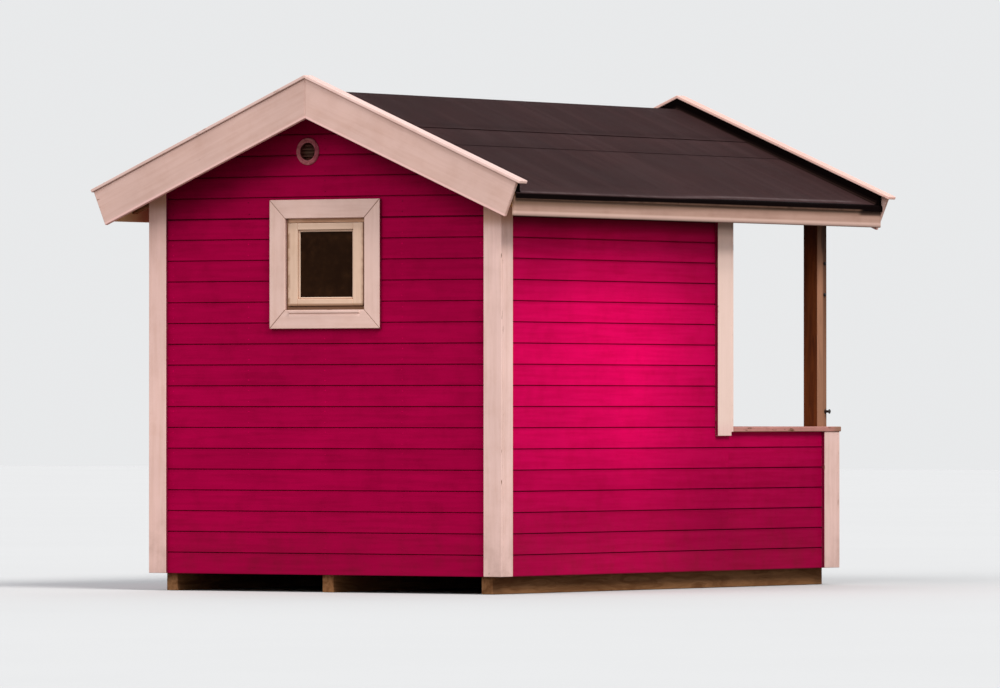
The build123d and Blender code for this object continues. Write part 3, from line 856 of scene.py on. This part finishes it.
# Side walls of the room
wall_under = roof_z(roof_under + 0.07, half_width)
for side, node in ((1, "right_wall"), (-1, "left_wall")):
    outer = Stack()
    planking(outer, facing_x, (foot, wall_under), room_front, rear - skin,
             side * half_width, side * frame_half)
    outer.make(node + "_cladding", wall_paint, "wall_paint", node)
    inner = Stack()
    planking(inner, facing_x, (floor_top, plate_low.z), room_front, rear_low.y,
             side * inner_half, side * frame_half, origin=between)
    inner.make(node + "_lining", rough_wood, "rough_timber", node)

# Front wall of the room, round the doorway
skin_front = room_front + skin
outer, inner = Stack(), Stack()
for s, e in ((-inner_half, frame_low.x), (frame_high.x, inner_half)):
    planking(outer, facing_y, (floor_top, frame_high.z), s, e, room_front, skin_front)
    planking(inner, facing_y, (floor_top, frame_high.z), s, e, over_high.y, skin_front, origin=between)
outer.make("front_cladding_sides", inside_paint, "wall_paint", "front_wall_sides")
inner.make("front_lining_sides", rough_wood, "rough_timber", "front_wall_sides")
outer, inner = Stack(), Stack()
gable(outer, frame_high.z, inner_half, room_front, skin_front)
gable(inner, frame_high.z, inner_half, over_high.y, skin_front, origin=between)
outer.make("front_cladding_over", inside_paint, "wall_paint", "front_wall_over_door")
inner.make("front_lining_over", rough_wood, "rough_timber", "front_wall_over_door")

# Porch half walls, lined up to the posts and let in round them
half_wall = (floor_top, rail_under)
post_inner = post_high.x - post_width
entry = 0.43  # half the width of the porch's entry
outer, inner = Stack(), Stack()
for side in (-1, 1):
    planking(outer, facing_x, (foot, rail_under), skin_back, room_front,
             side * half_width, side * frame_half)
    for s, e, face in ((post_high.y, room_front, inner_half), (skin_back, post_high.y, post_high.x)):
        planking(inner, facing_x, half_wall, s, e, side * face, side * frame_half, origin=between)
outer.make("porch_side_cladding", wall_paint, "wall_paint", "porch_side_walls")
inner.make("porch_side_lining", inside_paint, "wall_paint", "porch_side_walls")
outer, inner = Stack(), Stack()
planking(outer, facing_y, (foot, floor_top), -half_width, half_width, porch_front, skin_back)
for side in (-1, 1):
    s, e = sorted((side * entry, side * half_width))
    planking(outer, facing_y, half_wall, s, e, porch_front, skin_back)
    for near, far, face in ((entry, post_inner, front_high.y), (post_inner, inner_half, post_low.y)):
        s, e = sorted((side * near, side * far))
        planking(inner, facing_y, half_wall, s, e, face, skin_back, origin=between)
outer.make("porch_front_cladding", gable_paint_shaded_copy, "wall_paint", "porch_front_walls")
inner.make("porch_front_lining", inside_paint, "wall_paint", "porch_front_walls")

# Porch gable
outer, inner = Stack(), Stack()
gable(outer, gable_low.z, half_width, porch_front, skin_back)
gable(inner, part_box("porch_beam")[1].z, inner_half, gable_high.y, skin_back, origin=between)
outer.make("porch_gable_cladding", gable_paint_shaded_copy, "wall_paint", "porch_gable")
inner.make("porch_gable_lining", inside_paint, "wall_paint", "porch_gable")

# Floor and deck boards
for name, node, low, high, groove, finish in (
        ("floor_boards", "room_floor", floor_low, floor_high, floor_joint, floor_wood),
        ("deck_boards", "porch_deck", deck_low, deck_high, deck_joint, deck_wood)):
    boards = Stack()
    planking(boards, lying, (low.y, high.y), low.x, high.x, high.z, low.z, groove, origin=low.y)
    boards.make(name, finish, node.split("_")[1] + "_timber", node)

# Timbers taken as they are built, with eased edges
for finish, slot, bevel, ending, nodes in (
        (rough_wood, "rough_timber", 0.0018, "_timber",
         ("bearers", "floor_joists", "wall_plates", "ridge_board", "rafters_right", "rafters_left",
          "verge_battens_right", "verge_battens_left", "porch_beam")),
        (post_wood, "post_timber", 0.003, "", ("porch_posts",)),
        (trim_paint, "trim_paint", 0.002, "_boards", ("porch_head_board", "door_frame")),
        (corner_paint, "trim_paint", 0.002, "_boards",
         ("rear_corner_boards", "side_corner_boards", "front_corner_boards")),
        (window_paint, "trim_paint", 0.0035, "_boards", ("window_trim_sides", "window_trim_ends")),
        (barge_paint, "trim_paint", 0.003, "_boards", ("bargeboards_right", "bargeboards_left")),
        (fascia_paint, "trim_paint", 0.003, "_boards", ("fascias",)),
        (cap_paint, "trim_paint", 0.003, "_strip", ("barge_caps_right", "barge_caps_left")),
        (rail_paint, "rail_paint", 0.004, "", ("porch_side_rails", "porch_front_rails"))):
    for node in nodes:
        timbers(node + ending if ending else node.removeprefix("porch_"), node, finish, slot, bevel)

# Roof boards, seen from below at the eaves, the verges and over the porch
eave_edge = fascia_high.x + 0.008
roof_cover = 0.1
strips = 15
last_cover = 0.09  # cover of the last board, whose edge is nosed
nose = 0.012
end_top = (eave_edge + felt * slope_sin) / slope_cos
end_under = (eave_edge + roof_under * slope_sin) / slope_cos
run = end_top - last_cover
edge = run + open_joint
nosed = [(edge, felt), (edge, roof_under - 0.005), (run + 0.003, roof_under), (end_under, roof_under),
         (end_under - (roof_board - nose) * slope_tan, felt + nose)]
for step in range(1, 6):
    turn = radians(18 * step)
    lean = (1 - sin(turn)) * nose * slope_tan
    nosed.append((end_top - nose + nose * cos(turn) + lean, felt + nose - nose * sin(turn)))
for side, node in ((1, "roof_boards_right"), (-1, "roof_boards_left")):
    boards = Stack()
    planking(boards, slope_place(side), (roof_under * slope_tan, run), -boards_high.y, boards_high.y,
             roof_under, felt, deck_joint, width=roof_cover, origin=run - strips * roof_cover)
    prism(boards, slope_place(side), nosed, -boards_high.y, boards_high.y, *fresh())
    boards.make(node + "_strips", rough_wood, "rough_timber", node)

# Roofing felt: sheets bent over the ridge and the eave, lapped on the slope

def sheet(name, node, outer, inner, y0, y1, ripple=0.001, cell=0.08):
    """A thin sheet along the ridge whose section runs from outer's first point to its last and
    back along inner; its top face ripples a little."""
    rows = max(1, round((y1 - y0) / cell))
    points = []
    for row in range(rows + 1):
        y = y0 + (y1 - y0) * row / rows
        for index, (x, z) in enumerate(outer + inner[::-1]):
            drop = 0
            if index < len(outer):
                wave = noise.noise(Vector((x * 3.1, y * 2.3, z * 3.1)))
                wave += 0.5 * noise.noise(Vector((x * 9, y * 7, 4)))
                drop = ripple * (0.5 + 0.45 * max(-1, min(1, wave)))
            lean = -1 if x > 0 else 1
            points.append(Vector((x + lean * drop * slope_sin, y, z - drop * slope_cos)))
    stack = Stack()
    centre = Vector((0, (y0 + y1) / 2, points[0].z))
    stack.add(points, tube(rows + 1, len(outer + inner)), centre,
              [Vector((0, 1, 0)), Vector((1, 0, 0)), Vector((0, 0, 1))], [(y1 - y0) / 2, 1, 1], *fresh())
    made = stack.make(name, roof_felt, "roofing_felt", node, smooth=True)
    made.data.set_sharp_from_angle(angle=radians(40))


def on_slope(side, s, d):
    """A point s down the slope and d below the felt's top, in x and z."""
    return (side * (s * slope_cos - d * slope_sin), ridge_z - s * slope_sin - d * slope_cos)


def spread(low, high, steps):
    return [low + (high - low) * step / steps for step in range(steps + 1)]


def slope_line(side, low, high, steps, depth):
    return [on_slope(side, s, depth) for s in spread(low, high, steps)]


felt_edge = batten_high.y - 0.04
fold = 0.016  # radius of the felt's bend over the eave
lower_top = 0.0016  # the lower strip lies this far below the felt's top, under the lap
upper_under = 0.0022  # depth of the upper strip's underside
bend_x = eave_edge + felt - fold
bend_z = roof_z(fold, bend_x)
bend_s = (bend_x + fold * slope_sin) / slope_cos
tab_x = fascia_high.x
batten_top = (ridge_z - batten_high.z) * slope_cos
batten_tail = (tab_x + batten_top * slope_sin) / slope_cos
upturn = ((0, 0), (0, 0.02), (-0.008, 0.01), (-0.02, 0.0045), (batten_top, 0.004), (batten_top, 0))


def eave_line(side, depth, radius):
    """Down the lower strip, round the bend and down to the drip edge."""
    line = slope_line(side, lap[0] - 0.08, bend_s, 12, depth)
    for step in range(1, 7):
        turn = radians(67 - 67 * step / 6)
        line.append((side * (bend_x + radius * cos(turn)), bend_z + radius * sin(turn)))
    return line + [(side * (bend_x + radius), felt_low.z)]


def past_fascia(side, line, depth):
    """The part of a line beyond the fascia's face."""
    start = on_slope(side, (tab_x + depth * slope_sin) / slope_cos, depth)
    return [start] + [point for point in line if abs(point[0]) > tab_x + 0.001]


for side, node in ((1, "roof_felt_right"), (-1, "roof_felt_left")):
    outer = eave_line(side, lower_top, fold)
    inner = eave_line(side, felt, fold - felt)
    sheet(node + "_lower", node, outer, inner, -felt_edge, felt_edge, 0.0012)
    nose_outer = past_fascia(side, outer, lower_top)
    nose_inner = past_fascia(side, inner, felt)
    for end, name in ((-1, "_front_nose"), (1, "_rear_nose")):
        y0, y1 = sorted((end * felt_edge, end * batten_high.y))
        sheet(node + name, node, nose_outer, nose_inner, y0, y1, 0.0012, 0.02)
    sheet(node + "_upper", node, slope_line(side, 0, lap[1], 14, 0),
          slope_line(side, 0, lap[1], 14, upper_under), -felt_edge, felt_edge)

    def turned_up(a, c, d):
        x, z = on_slope(side, a, c)
        return Vector((x, d, z))

    def tab(a, c, d):
        return Vector((side * d, c, a))

    turned = Stack()
    for end in (-1, 1):
        outline = [(c, end * (felt_edge - in_by)) for c, in_by in upturn]
        prism(turned, turned_up, outline, lambda c: c * slope_tan,
              lambda c: batten_tail + (c - batten_top) * slope_tan, *fresh())
        y0 = end * (felt_edge - 0.004)
        y1 = end * batten_high.y
        outline = [(y0, tab_x), (y1, tab_x), (y1, tab_x + felt), (y0, tab_x + felt)]
        prism(turned, tab, outline, roof_z(felt, tab_x + felt), roof_z(batten_top, tab_x + felt), *fresh())
    turned.make(node + "_upturns", dark_felt, "roofing_felt", node)

# The ridge sheet is folded over the apex and lies on both slopes
apex = 0.03  # the fold starts this far down each slope
section = []
for depth in (-ridge_sheet, 0):
    line = slope_line(-1, ridge_reach, apex, 10, depth)
    line.append((0, line[-1][1] + apex * slope_sin * 0.62))
    section.append(line + slope_line(1, apex, ridge_reach, 10, depth))
sheet("ridge_sheet", "ridge_felt", *section, ridge_low.y, ridge_high.y)

# Window: lining, sash with a glazing bead, and the pane

def framing(y0, y1, bevel, *pieces):
    """Sticks of the sash, each from one corner to another in x and z, with its long axis."""
    for x0, z0, x1, z1, along in pieces:
        stick(sash, (x0, y0, z0), (x1, y1, z1), along, bevel)


timbers("lining_boards", "window_lining", lining_wood, "lining_timber", 0.001)
sash = Stack()
bead = 0.011
stile = 0.078 - bead
rail = 0.05 - bead
x0, x1 = sash_low.x, sash_high.x
z0, z1 = sash_low.z, sash_high.z
framing(sash_low.y, sash_high.y, 0.003, (x0, z0, x0 + stile, z1, 2), (x1 - stile, z0, x1, z1, 2),
        (x0 + stile, z1 - rail, x1 - stile, z1, 0), (x0 + stile, z0, x1 - stile, z0 + rail, 0))
rebate = 0.008  # how far the pane goes into the sash
x0, x1 = glass_low.x + rebate - bead, glass_high.x - rebate + bead
z0, z1 = glass_low.z + rebate - bead, glass_high.z - rebate + bead
framing(glass_high.y, glass_high.y + bead, 0.004, (x0, z0, x0 + bead, z1, 2), (x1 - bead, z0, x1, z1, 2),
        (x0 + bead, z0, x1 - bead, z0 + bead, 0), (x0 + bead, z1 - bead, x1 - bead, z1, 0))
sash.make("sash_frame", sash_paint, "sash_paint", "window_sash")
pane_stack = Stack()
stick(pane_stack, glass_low, glass_high, 0, 0.0008)
pane_stack.make("pane", pane, "window_glass", "window_glass")

# Vent: a turned flange and sleeve with tilted slats in its bore

def lathe(stack, centre, axis, side_axis, profile, count=48):
    """A ring turned about axis from a closed section of (radius, along)."""
    axis = Vector(axis).normalized()
    side_axis = Vector(side_axis).normalized()
    other = axis.cross(side_axis)
    centre = Vector(centre)
    points = []
    for step in range(count):
        turn = tau * step / count
        spoke = side_axis * cos(turn) + other * sin(turn)
        points += [centre + spoke * radius + axis * along for radius, along in profile]
    reach = max(radius for radius, _ in profile)
    stack.add(points, tube(count, len(profile), closed=True), centre, [axis, side_axis, other],
              [reach, reach, reach], *fresh())


flange_r = (vent_high.x - vent_low.x) / 2
bore_r = 0.05
lip = vent_high.y
vent = Stack()
section = [(flange_r, rear), (flange_r, lip - 0.0045), (flange_r - 0.0015, lip - 0.0018),
           (flange_r - 0.004, lip - 0.0006), (flange_r - 0.012, lip - 0.0022),
           (bore_r + 0.012, lip - 0.0022), (bore_r + 0.005, lip - 0.0003), (bore_r + 0.0015, lip - 0.0012),
           (bore_r, lip - 0.0035), (bore_r, vent_low.y), (bore_r + 0.004, vent_low.y), (bore_r + 0.004, rear)]
lathe(vent, (vent_x, 0, vent_z), (0, 1, 0), (1, 0, 0), section)
slats = 5
slat_gap = 2 * bore_r / slats
slat_tilt = radians(40)
slat_cos = cos(slat_tilt)
slat_sin = sin(slat_tilt)
slat_half = slat_gap / slat_cos / 2
outline = [(-slat_half, -0.0015), (slat_half - 0.003, -0.0015), (slat_half, -0.004),
           (slat_half, -0.0005), (slat_half - 0.003, 0.0015), (-slat_half, 0.0015)]
for index in range(slats):
    above = (index - (slats - 1) / 2) * slat_gap
    reach = min(abs(above) + slat_half * slat_sin, bore_r - 0.004)
    half = sqrt((bore_r + 0.001) ** 2 - reach ** 2)

    def slat(a, c, d):
        y = rear - slat_half + c * slat_cos + d * slat_sin
        return Vector((vent_x + a, y, vent_z + above - c * slat_sin + d * slat_cos))

    prism(vent, slat, outline, -half, half, *fresh())
vent.make("vent", zinc, "vent_metal", "gable_vent")

# Door: planks on ledges, strap hinges and a knob

def upright(a, c, d):
    return Vector((c, d, a))


leaf = Stack()
plank = (leaf_high.x - leaf_low.x) / 6
plank_back = leaf_low.y + 0.018
planking(leaf, upright, (leaf_low.x, leaf_high.x), leaf_low.z, leaf_high.z, leaf_low.y, plank_back,
         (0.0035, 0.0045), width=plank, origin=leaf_low.x)
ledge_in = 0.01  # a ledge stops this far short of the leaf's edges
ledge_half = 0.05
for share in (0.09, 0.5, 0.9):
    z = leaf_low.z + (leaf_high.z - leaf_low.z) * share
    low = (leaf_low.x + ledge_in, plank_back, z - ledge_half)
    stick(leaf, low, (leaf_high.x - ledge_in, leaf_high.y, z + ledge_half), 0, 0.003)
leaf.make("door_planks", trim_paint, "trim_paint", "door_leaf")

iron_work = Stack()
strap_thick = 0.004
strap_long = 0.32
strap_half = 0.02
strap_x = fit_low.x
strap_face = leaf_low.y - strap_thick
strap_tip = 0.014  # radius of the strap's round end
screw = [(0.0001, 0), (0.0055, 0), (0.0048, 0.0012), (0.003, 0.002), (0.0001, 0.0023)]
knuckle = [(0.0001, -0.019), (0.0042, -0.019), (0.005, -0.017), (0.005, 0.017), (0.0042, 0.019),
           (0.0001, 0.019)]
outline = [(strap_x, -strap_half), (strap_x + 0.045, -strap_half), (strap_x + 0.055, -0.017)]
for step in range(9):
    turn = radians(-90 + 22.5 * step)
    outline.append((strap_x + strap_long - strap_tip + strap_tip * cos(turn), strap_tip * sin(turn)))
outline += [(x, -d) for x, d in outline[2::-1]]
for z in (fit_low.z + strap_half, fit_high.z - strap_half):
    bm = bmesh.new()
    corners = [bm.verts.new((x, y, z + d)) for y in (leaf_low.y, strap_face) for x, d in outline]
    for face in tube(2, len(outline)):
        bm.faces.new([corners[i] for i in face])
    bm.normal_update()
    add_bevelled(iron_work, bm, 0.0008, [0, 2, 1])
    for x in (0.018, 0.075, 0.145, 0.215, 0.285):
        lathe(iron_work, (strap_x + x, strap_face, z), (0, -1, 0), (1, 0, 0), screw, 12)
    pin = (leaf_low.x - 0.0015, strap_face - 0.001, z)
    lathe(iron_work, pin, (0, 0, 1), (1, 0, 0), knuckle, 16)
knob_x = 0.31
knob_z = floor_top + 1
reach = leaf_low.y - fit_low.y
knob = [(0.0001, 0), (0.026, 0), (0.026, 0.003), (0.0235, 0.0055), (0.012, 0.0065), (0.009, 0.01),
        (0.009, reach - 0.036), (0.012, reach - 0.031), (0.02, reach - 0.027), (0.0255, reach - 0.019),
        (0.0258, reach - 0.012), (0.0215, reach - 0.005), (0.012, reach - 0.001), (0.0001, reach)]
lathe(iron_work, (knob_x, leaf_low.y, knob_z), (0, -1, 0), (1, 0, 0), knob, 28)
iron_work.make("door_ironwork", iron, "black_iron", "door_fittings")

# Three small iron pegs on the seen porch post

pegs = Stack()
for z, setback, radius, reach in ((1.917, 0.03, 0.01, 0.012), (1.731, 0.03, 0.01, 0.012),
                                  (1.033, 0.016, 0.014, 0.032)):
    neck = radius * 0.55
    section = [(0.0001, 0), (radius, 0), (radius, 0.002), (neck, 0.003), (neck, reach - 0.008),
               (radius * 0.9, reach - 0.006), (radius, reach - 0.003), (radius * 0.8, reach - 0.0005),
               (0.0001, reach)]
    lathe(pegs, (-post_high.x, post_low.y + setback, z), (-1, 0, 0), (0, 1, 0), section, 20)
pegs.make("post_pegs", iron, "black_iron")

# Nail heads on the cladding

nails = Stack()
nail_head = [(0.0001, -0.0004), (0.0036, -0.0004), (0.0033, 0.0002), (0.002, 0.0005), (0.0001, 0.0006)]
clear = 0.13  # no nails this close to the window's opening
verge_clear = 0.17  # nor this close to the felt's top
stud_half = 1.06  # the outermost studs of a gable
stud_in = 0.17  # the first stud behind a corner


def nail_rows(place, z0, z1, studs, normal, flat, surface, keep=None):
    """Two nails to a board at each stud from z0 to z1, where keep allows it."""
    for index in range(ceil((z1 - z0) / course)):
        for share in (0.25, 0.75):
            z = z0 + (index + share) * course
            for a in studs:
                a += dice.uniform(-0.003, 0.003)
                if z < z1 - 0.02 and (keep is None or keep(a, z)):
                    z_nail = z + dice.uniform(-0.004, 0.004)
                    lathe(nails, place(a, z_nail, surface), normal, flat, nail_head, 8)


def under_verge(x, z):
    return abs(x) < rake(verge_clear, stud_half + 0.02)(z)


def clear_of_rear(x, z):
    beside = x < window[0] - clear or x > window[1] + clear
    near_window = not beside and window[2] - clear < z < window[3] + clear
    near_vent = (x - vent_x) ** 2 + (z - vent_z) ** 2 < (flange_r + 0.01) ** 2
    return not near_window and not near_vent and under_verge(x, z)


top = ridge_z - 0.2
studs = spread(-stud_half, stud_half, 4)
nail_rows(facing_y, foot, top, studs, (0, 1, 0), (1, 0, 0), rear, clear_of_rear)
nail_rows(facing_y, gable_low.z + 0.15, top, studs, (0, -1, 0), (1, 0, 0), porch_front, under_verge)
for side in (-1, 1):
    for z1, studs in ((wall_under - 0.05, spread(room_front + stud_in, rear - stud_in, 4)),
                      (rail_under, spread(skin_back + stud_in, room_front - 0.04, 2))):
        nail_rows(facing_x, foot, z1, studs, (side, 0, 0), (0, 1, 0), side * half_width)
nails.make("cladding_nails", wall_paint, "wall_paint")

# Floor, backdrop, lamps and camera

def ground_finish():
    """Pale to the camera, and as dark as grass to the light that it throws back."""
    n = Nodes("ground")
    cloud = n.noise(n.place(), 0.35, 4, 0.6)
    eye = n.value("LightPath", "Is Camera Ray")
    body = n.mix(eye, (128, 120, 112), n.bright((186, 186, 186), n.ramp(cloud, 0.3, 0.7, 0.985, 1)))
    return n.finish(body, n.ramp(cloud, 0.3, 0.7, 0.9, 0.95), Specular_IOR_Level=0)


ground_mesh = bpy.data.meshes.new("ground")
bm = bmesh.new()
bmesh.ops.create_grid(bm, x_segments=8, y_segments=8, size=90)
bm.to_mesh(ground_mesh)
bm.free()
ground = bpy.data.objects.new("ground", ground_mesh)
bpy.context.scene.collection.objects.link(ground)
ground_mesh.materials.append(ground_finish())
ground.location.z = -0.001

scene = bpy.context.scene
world = bpy.data.worlds.new("sky")
world.use_nodes = True
tree = world.node_tree
tree.nodes.clear()
out = tree.nodes.new("ShaderNodeOutputWorld")
rays = tree.nodes.new("ShaderNodeLightPath")
both = tree.nodes.new("ShaderNodeMixShader")
tree.links.new(rays.outputs["Is Camera Ray"], both.inputs[0])
for socket, colour, strength in ((1, (0.86, 0.92, 1, 1), 0.66), (2, (0.9, 0.91, 0.92, 1), 0.9)):
    glow = tree.nodes.new("ShaderNodeBackground")
    glow.inputs["Color"].default_value = colour
    glow.inputs["Strength"].default_value = strength
    tree.links.new(glow.outputs[0], both.inputs[socket])
tree.links.new(both.outputs[0], out.inputs["Surface"])
scene.world = world


def sun(name, azimuth, elevation, strength, spread_angle, colour):
    """A soft distant lamp. azimuth is counted from +X towards +Y."""
    data = bpy.data.lights.new(name, "SUN")
    data.energy = strength
    data.angle = radians(spread_angle)
    data.color = colour
    made = bpy.data.objects.new(name, data)
    turn, rise = radians(azimuth), radians(elevation)
    towards = Vector((cos(turn) * cos(rise), sin(turn) * cos(rise), sin(rise)))
    made.rotation_euler = towards.to_track_quat("Z", "Y").to_euler()
    scene.collection.objects.link(made)


sun("key", 160, 46, 3, 24, (1, 0.97, 0.93))
sun("rear_fill", 85, 42, 1.5, 50, (1, 0.98, 0.95))
sun("front_fill", 300, 35, 0.8, 60, (0.97, 0.98, 1))

# The camera stands far off, low and to the left of the rear gable, as the photo's did
camera_data = bpy.data.cameras.new("camera")
camera_data.lens = 326
camera_data.sensor_width = 36
camera_data.clip_end = 400
camera = bpy.data.objects.new("camera", camera_data)
camera.location = (-29.04, 44.67, 1.05)
aim = Vector((0, 0, 1.43))
camera.rotation_euler = (aim - camera.location).to_track_quat("-Z", "Y").to_euler()
scene.collection.objects.link(camera)
scene.camera = camera
scene.view_settings.view_transform = "Standard"
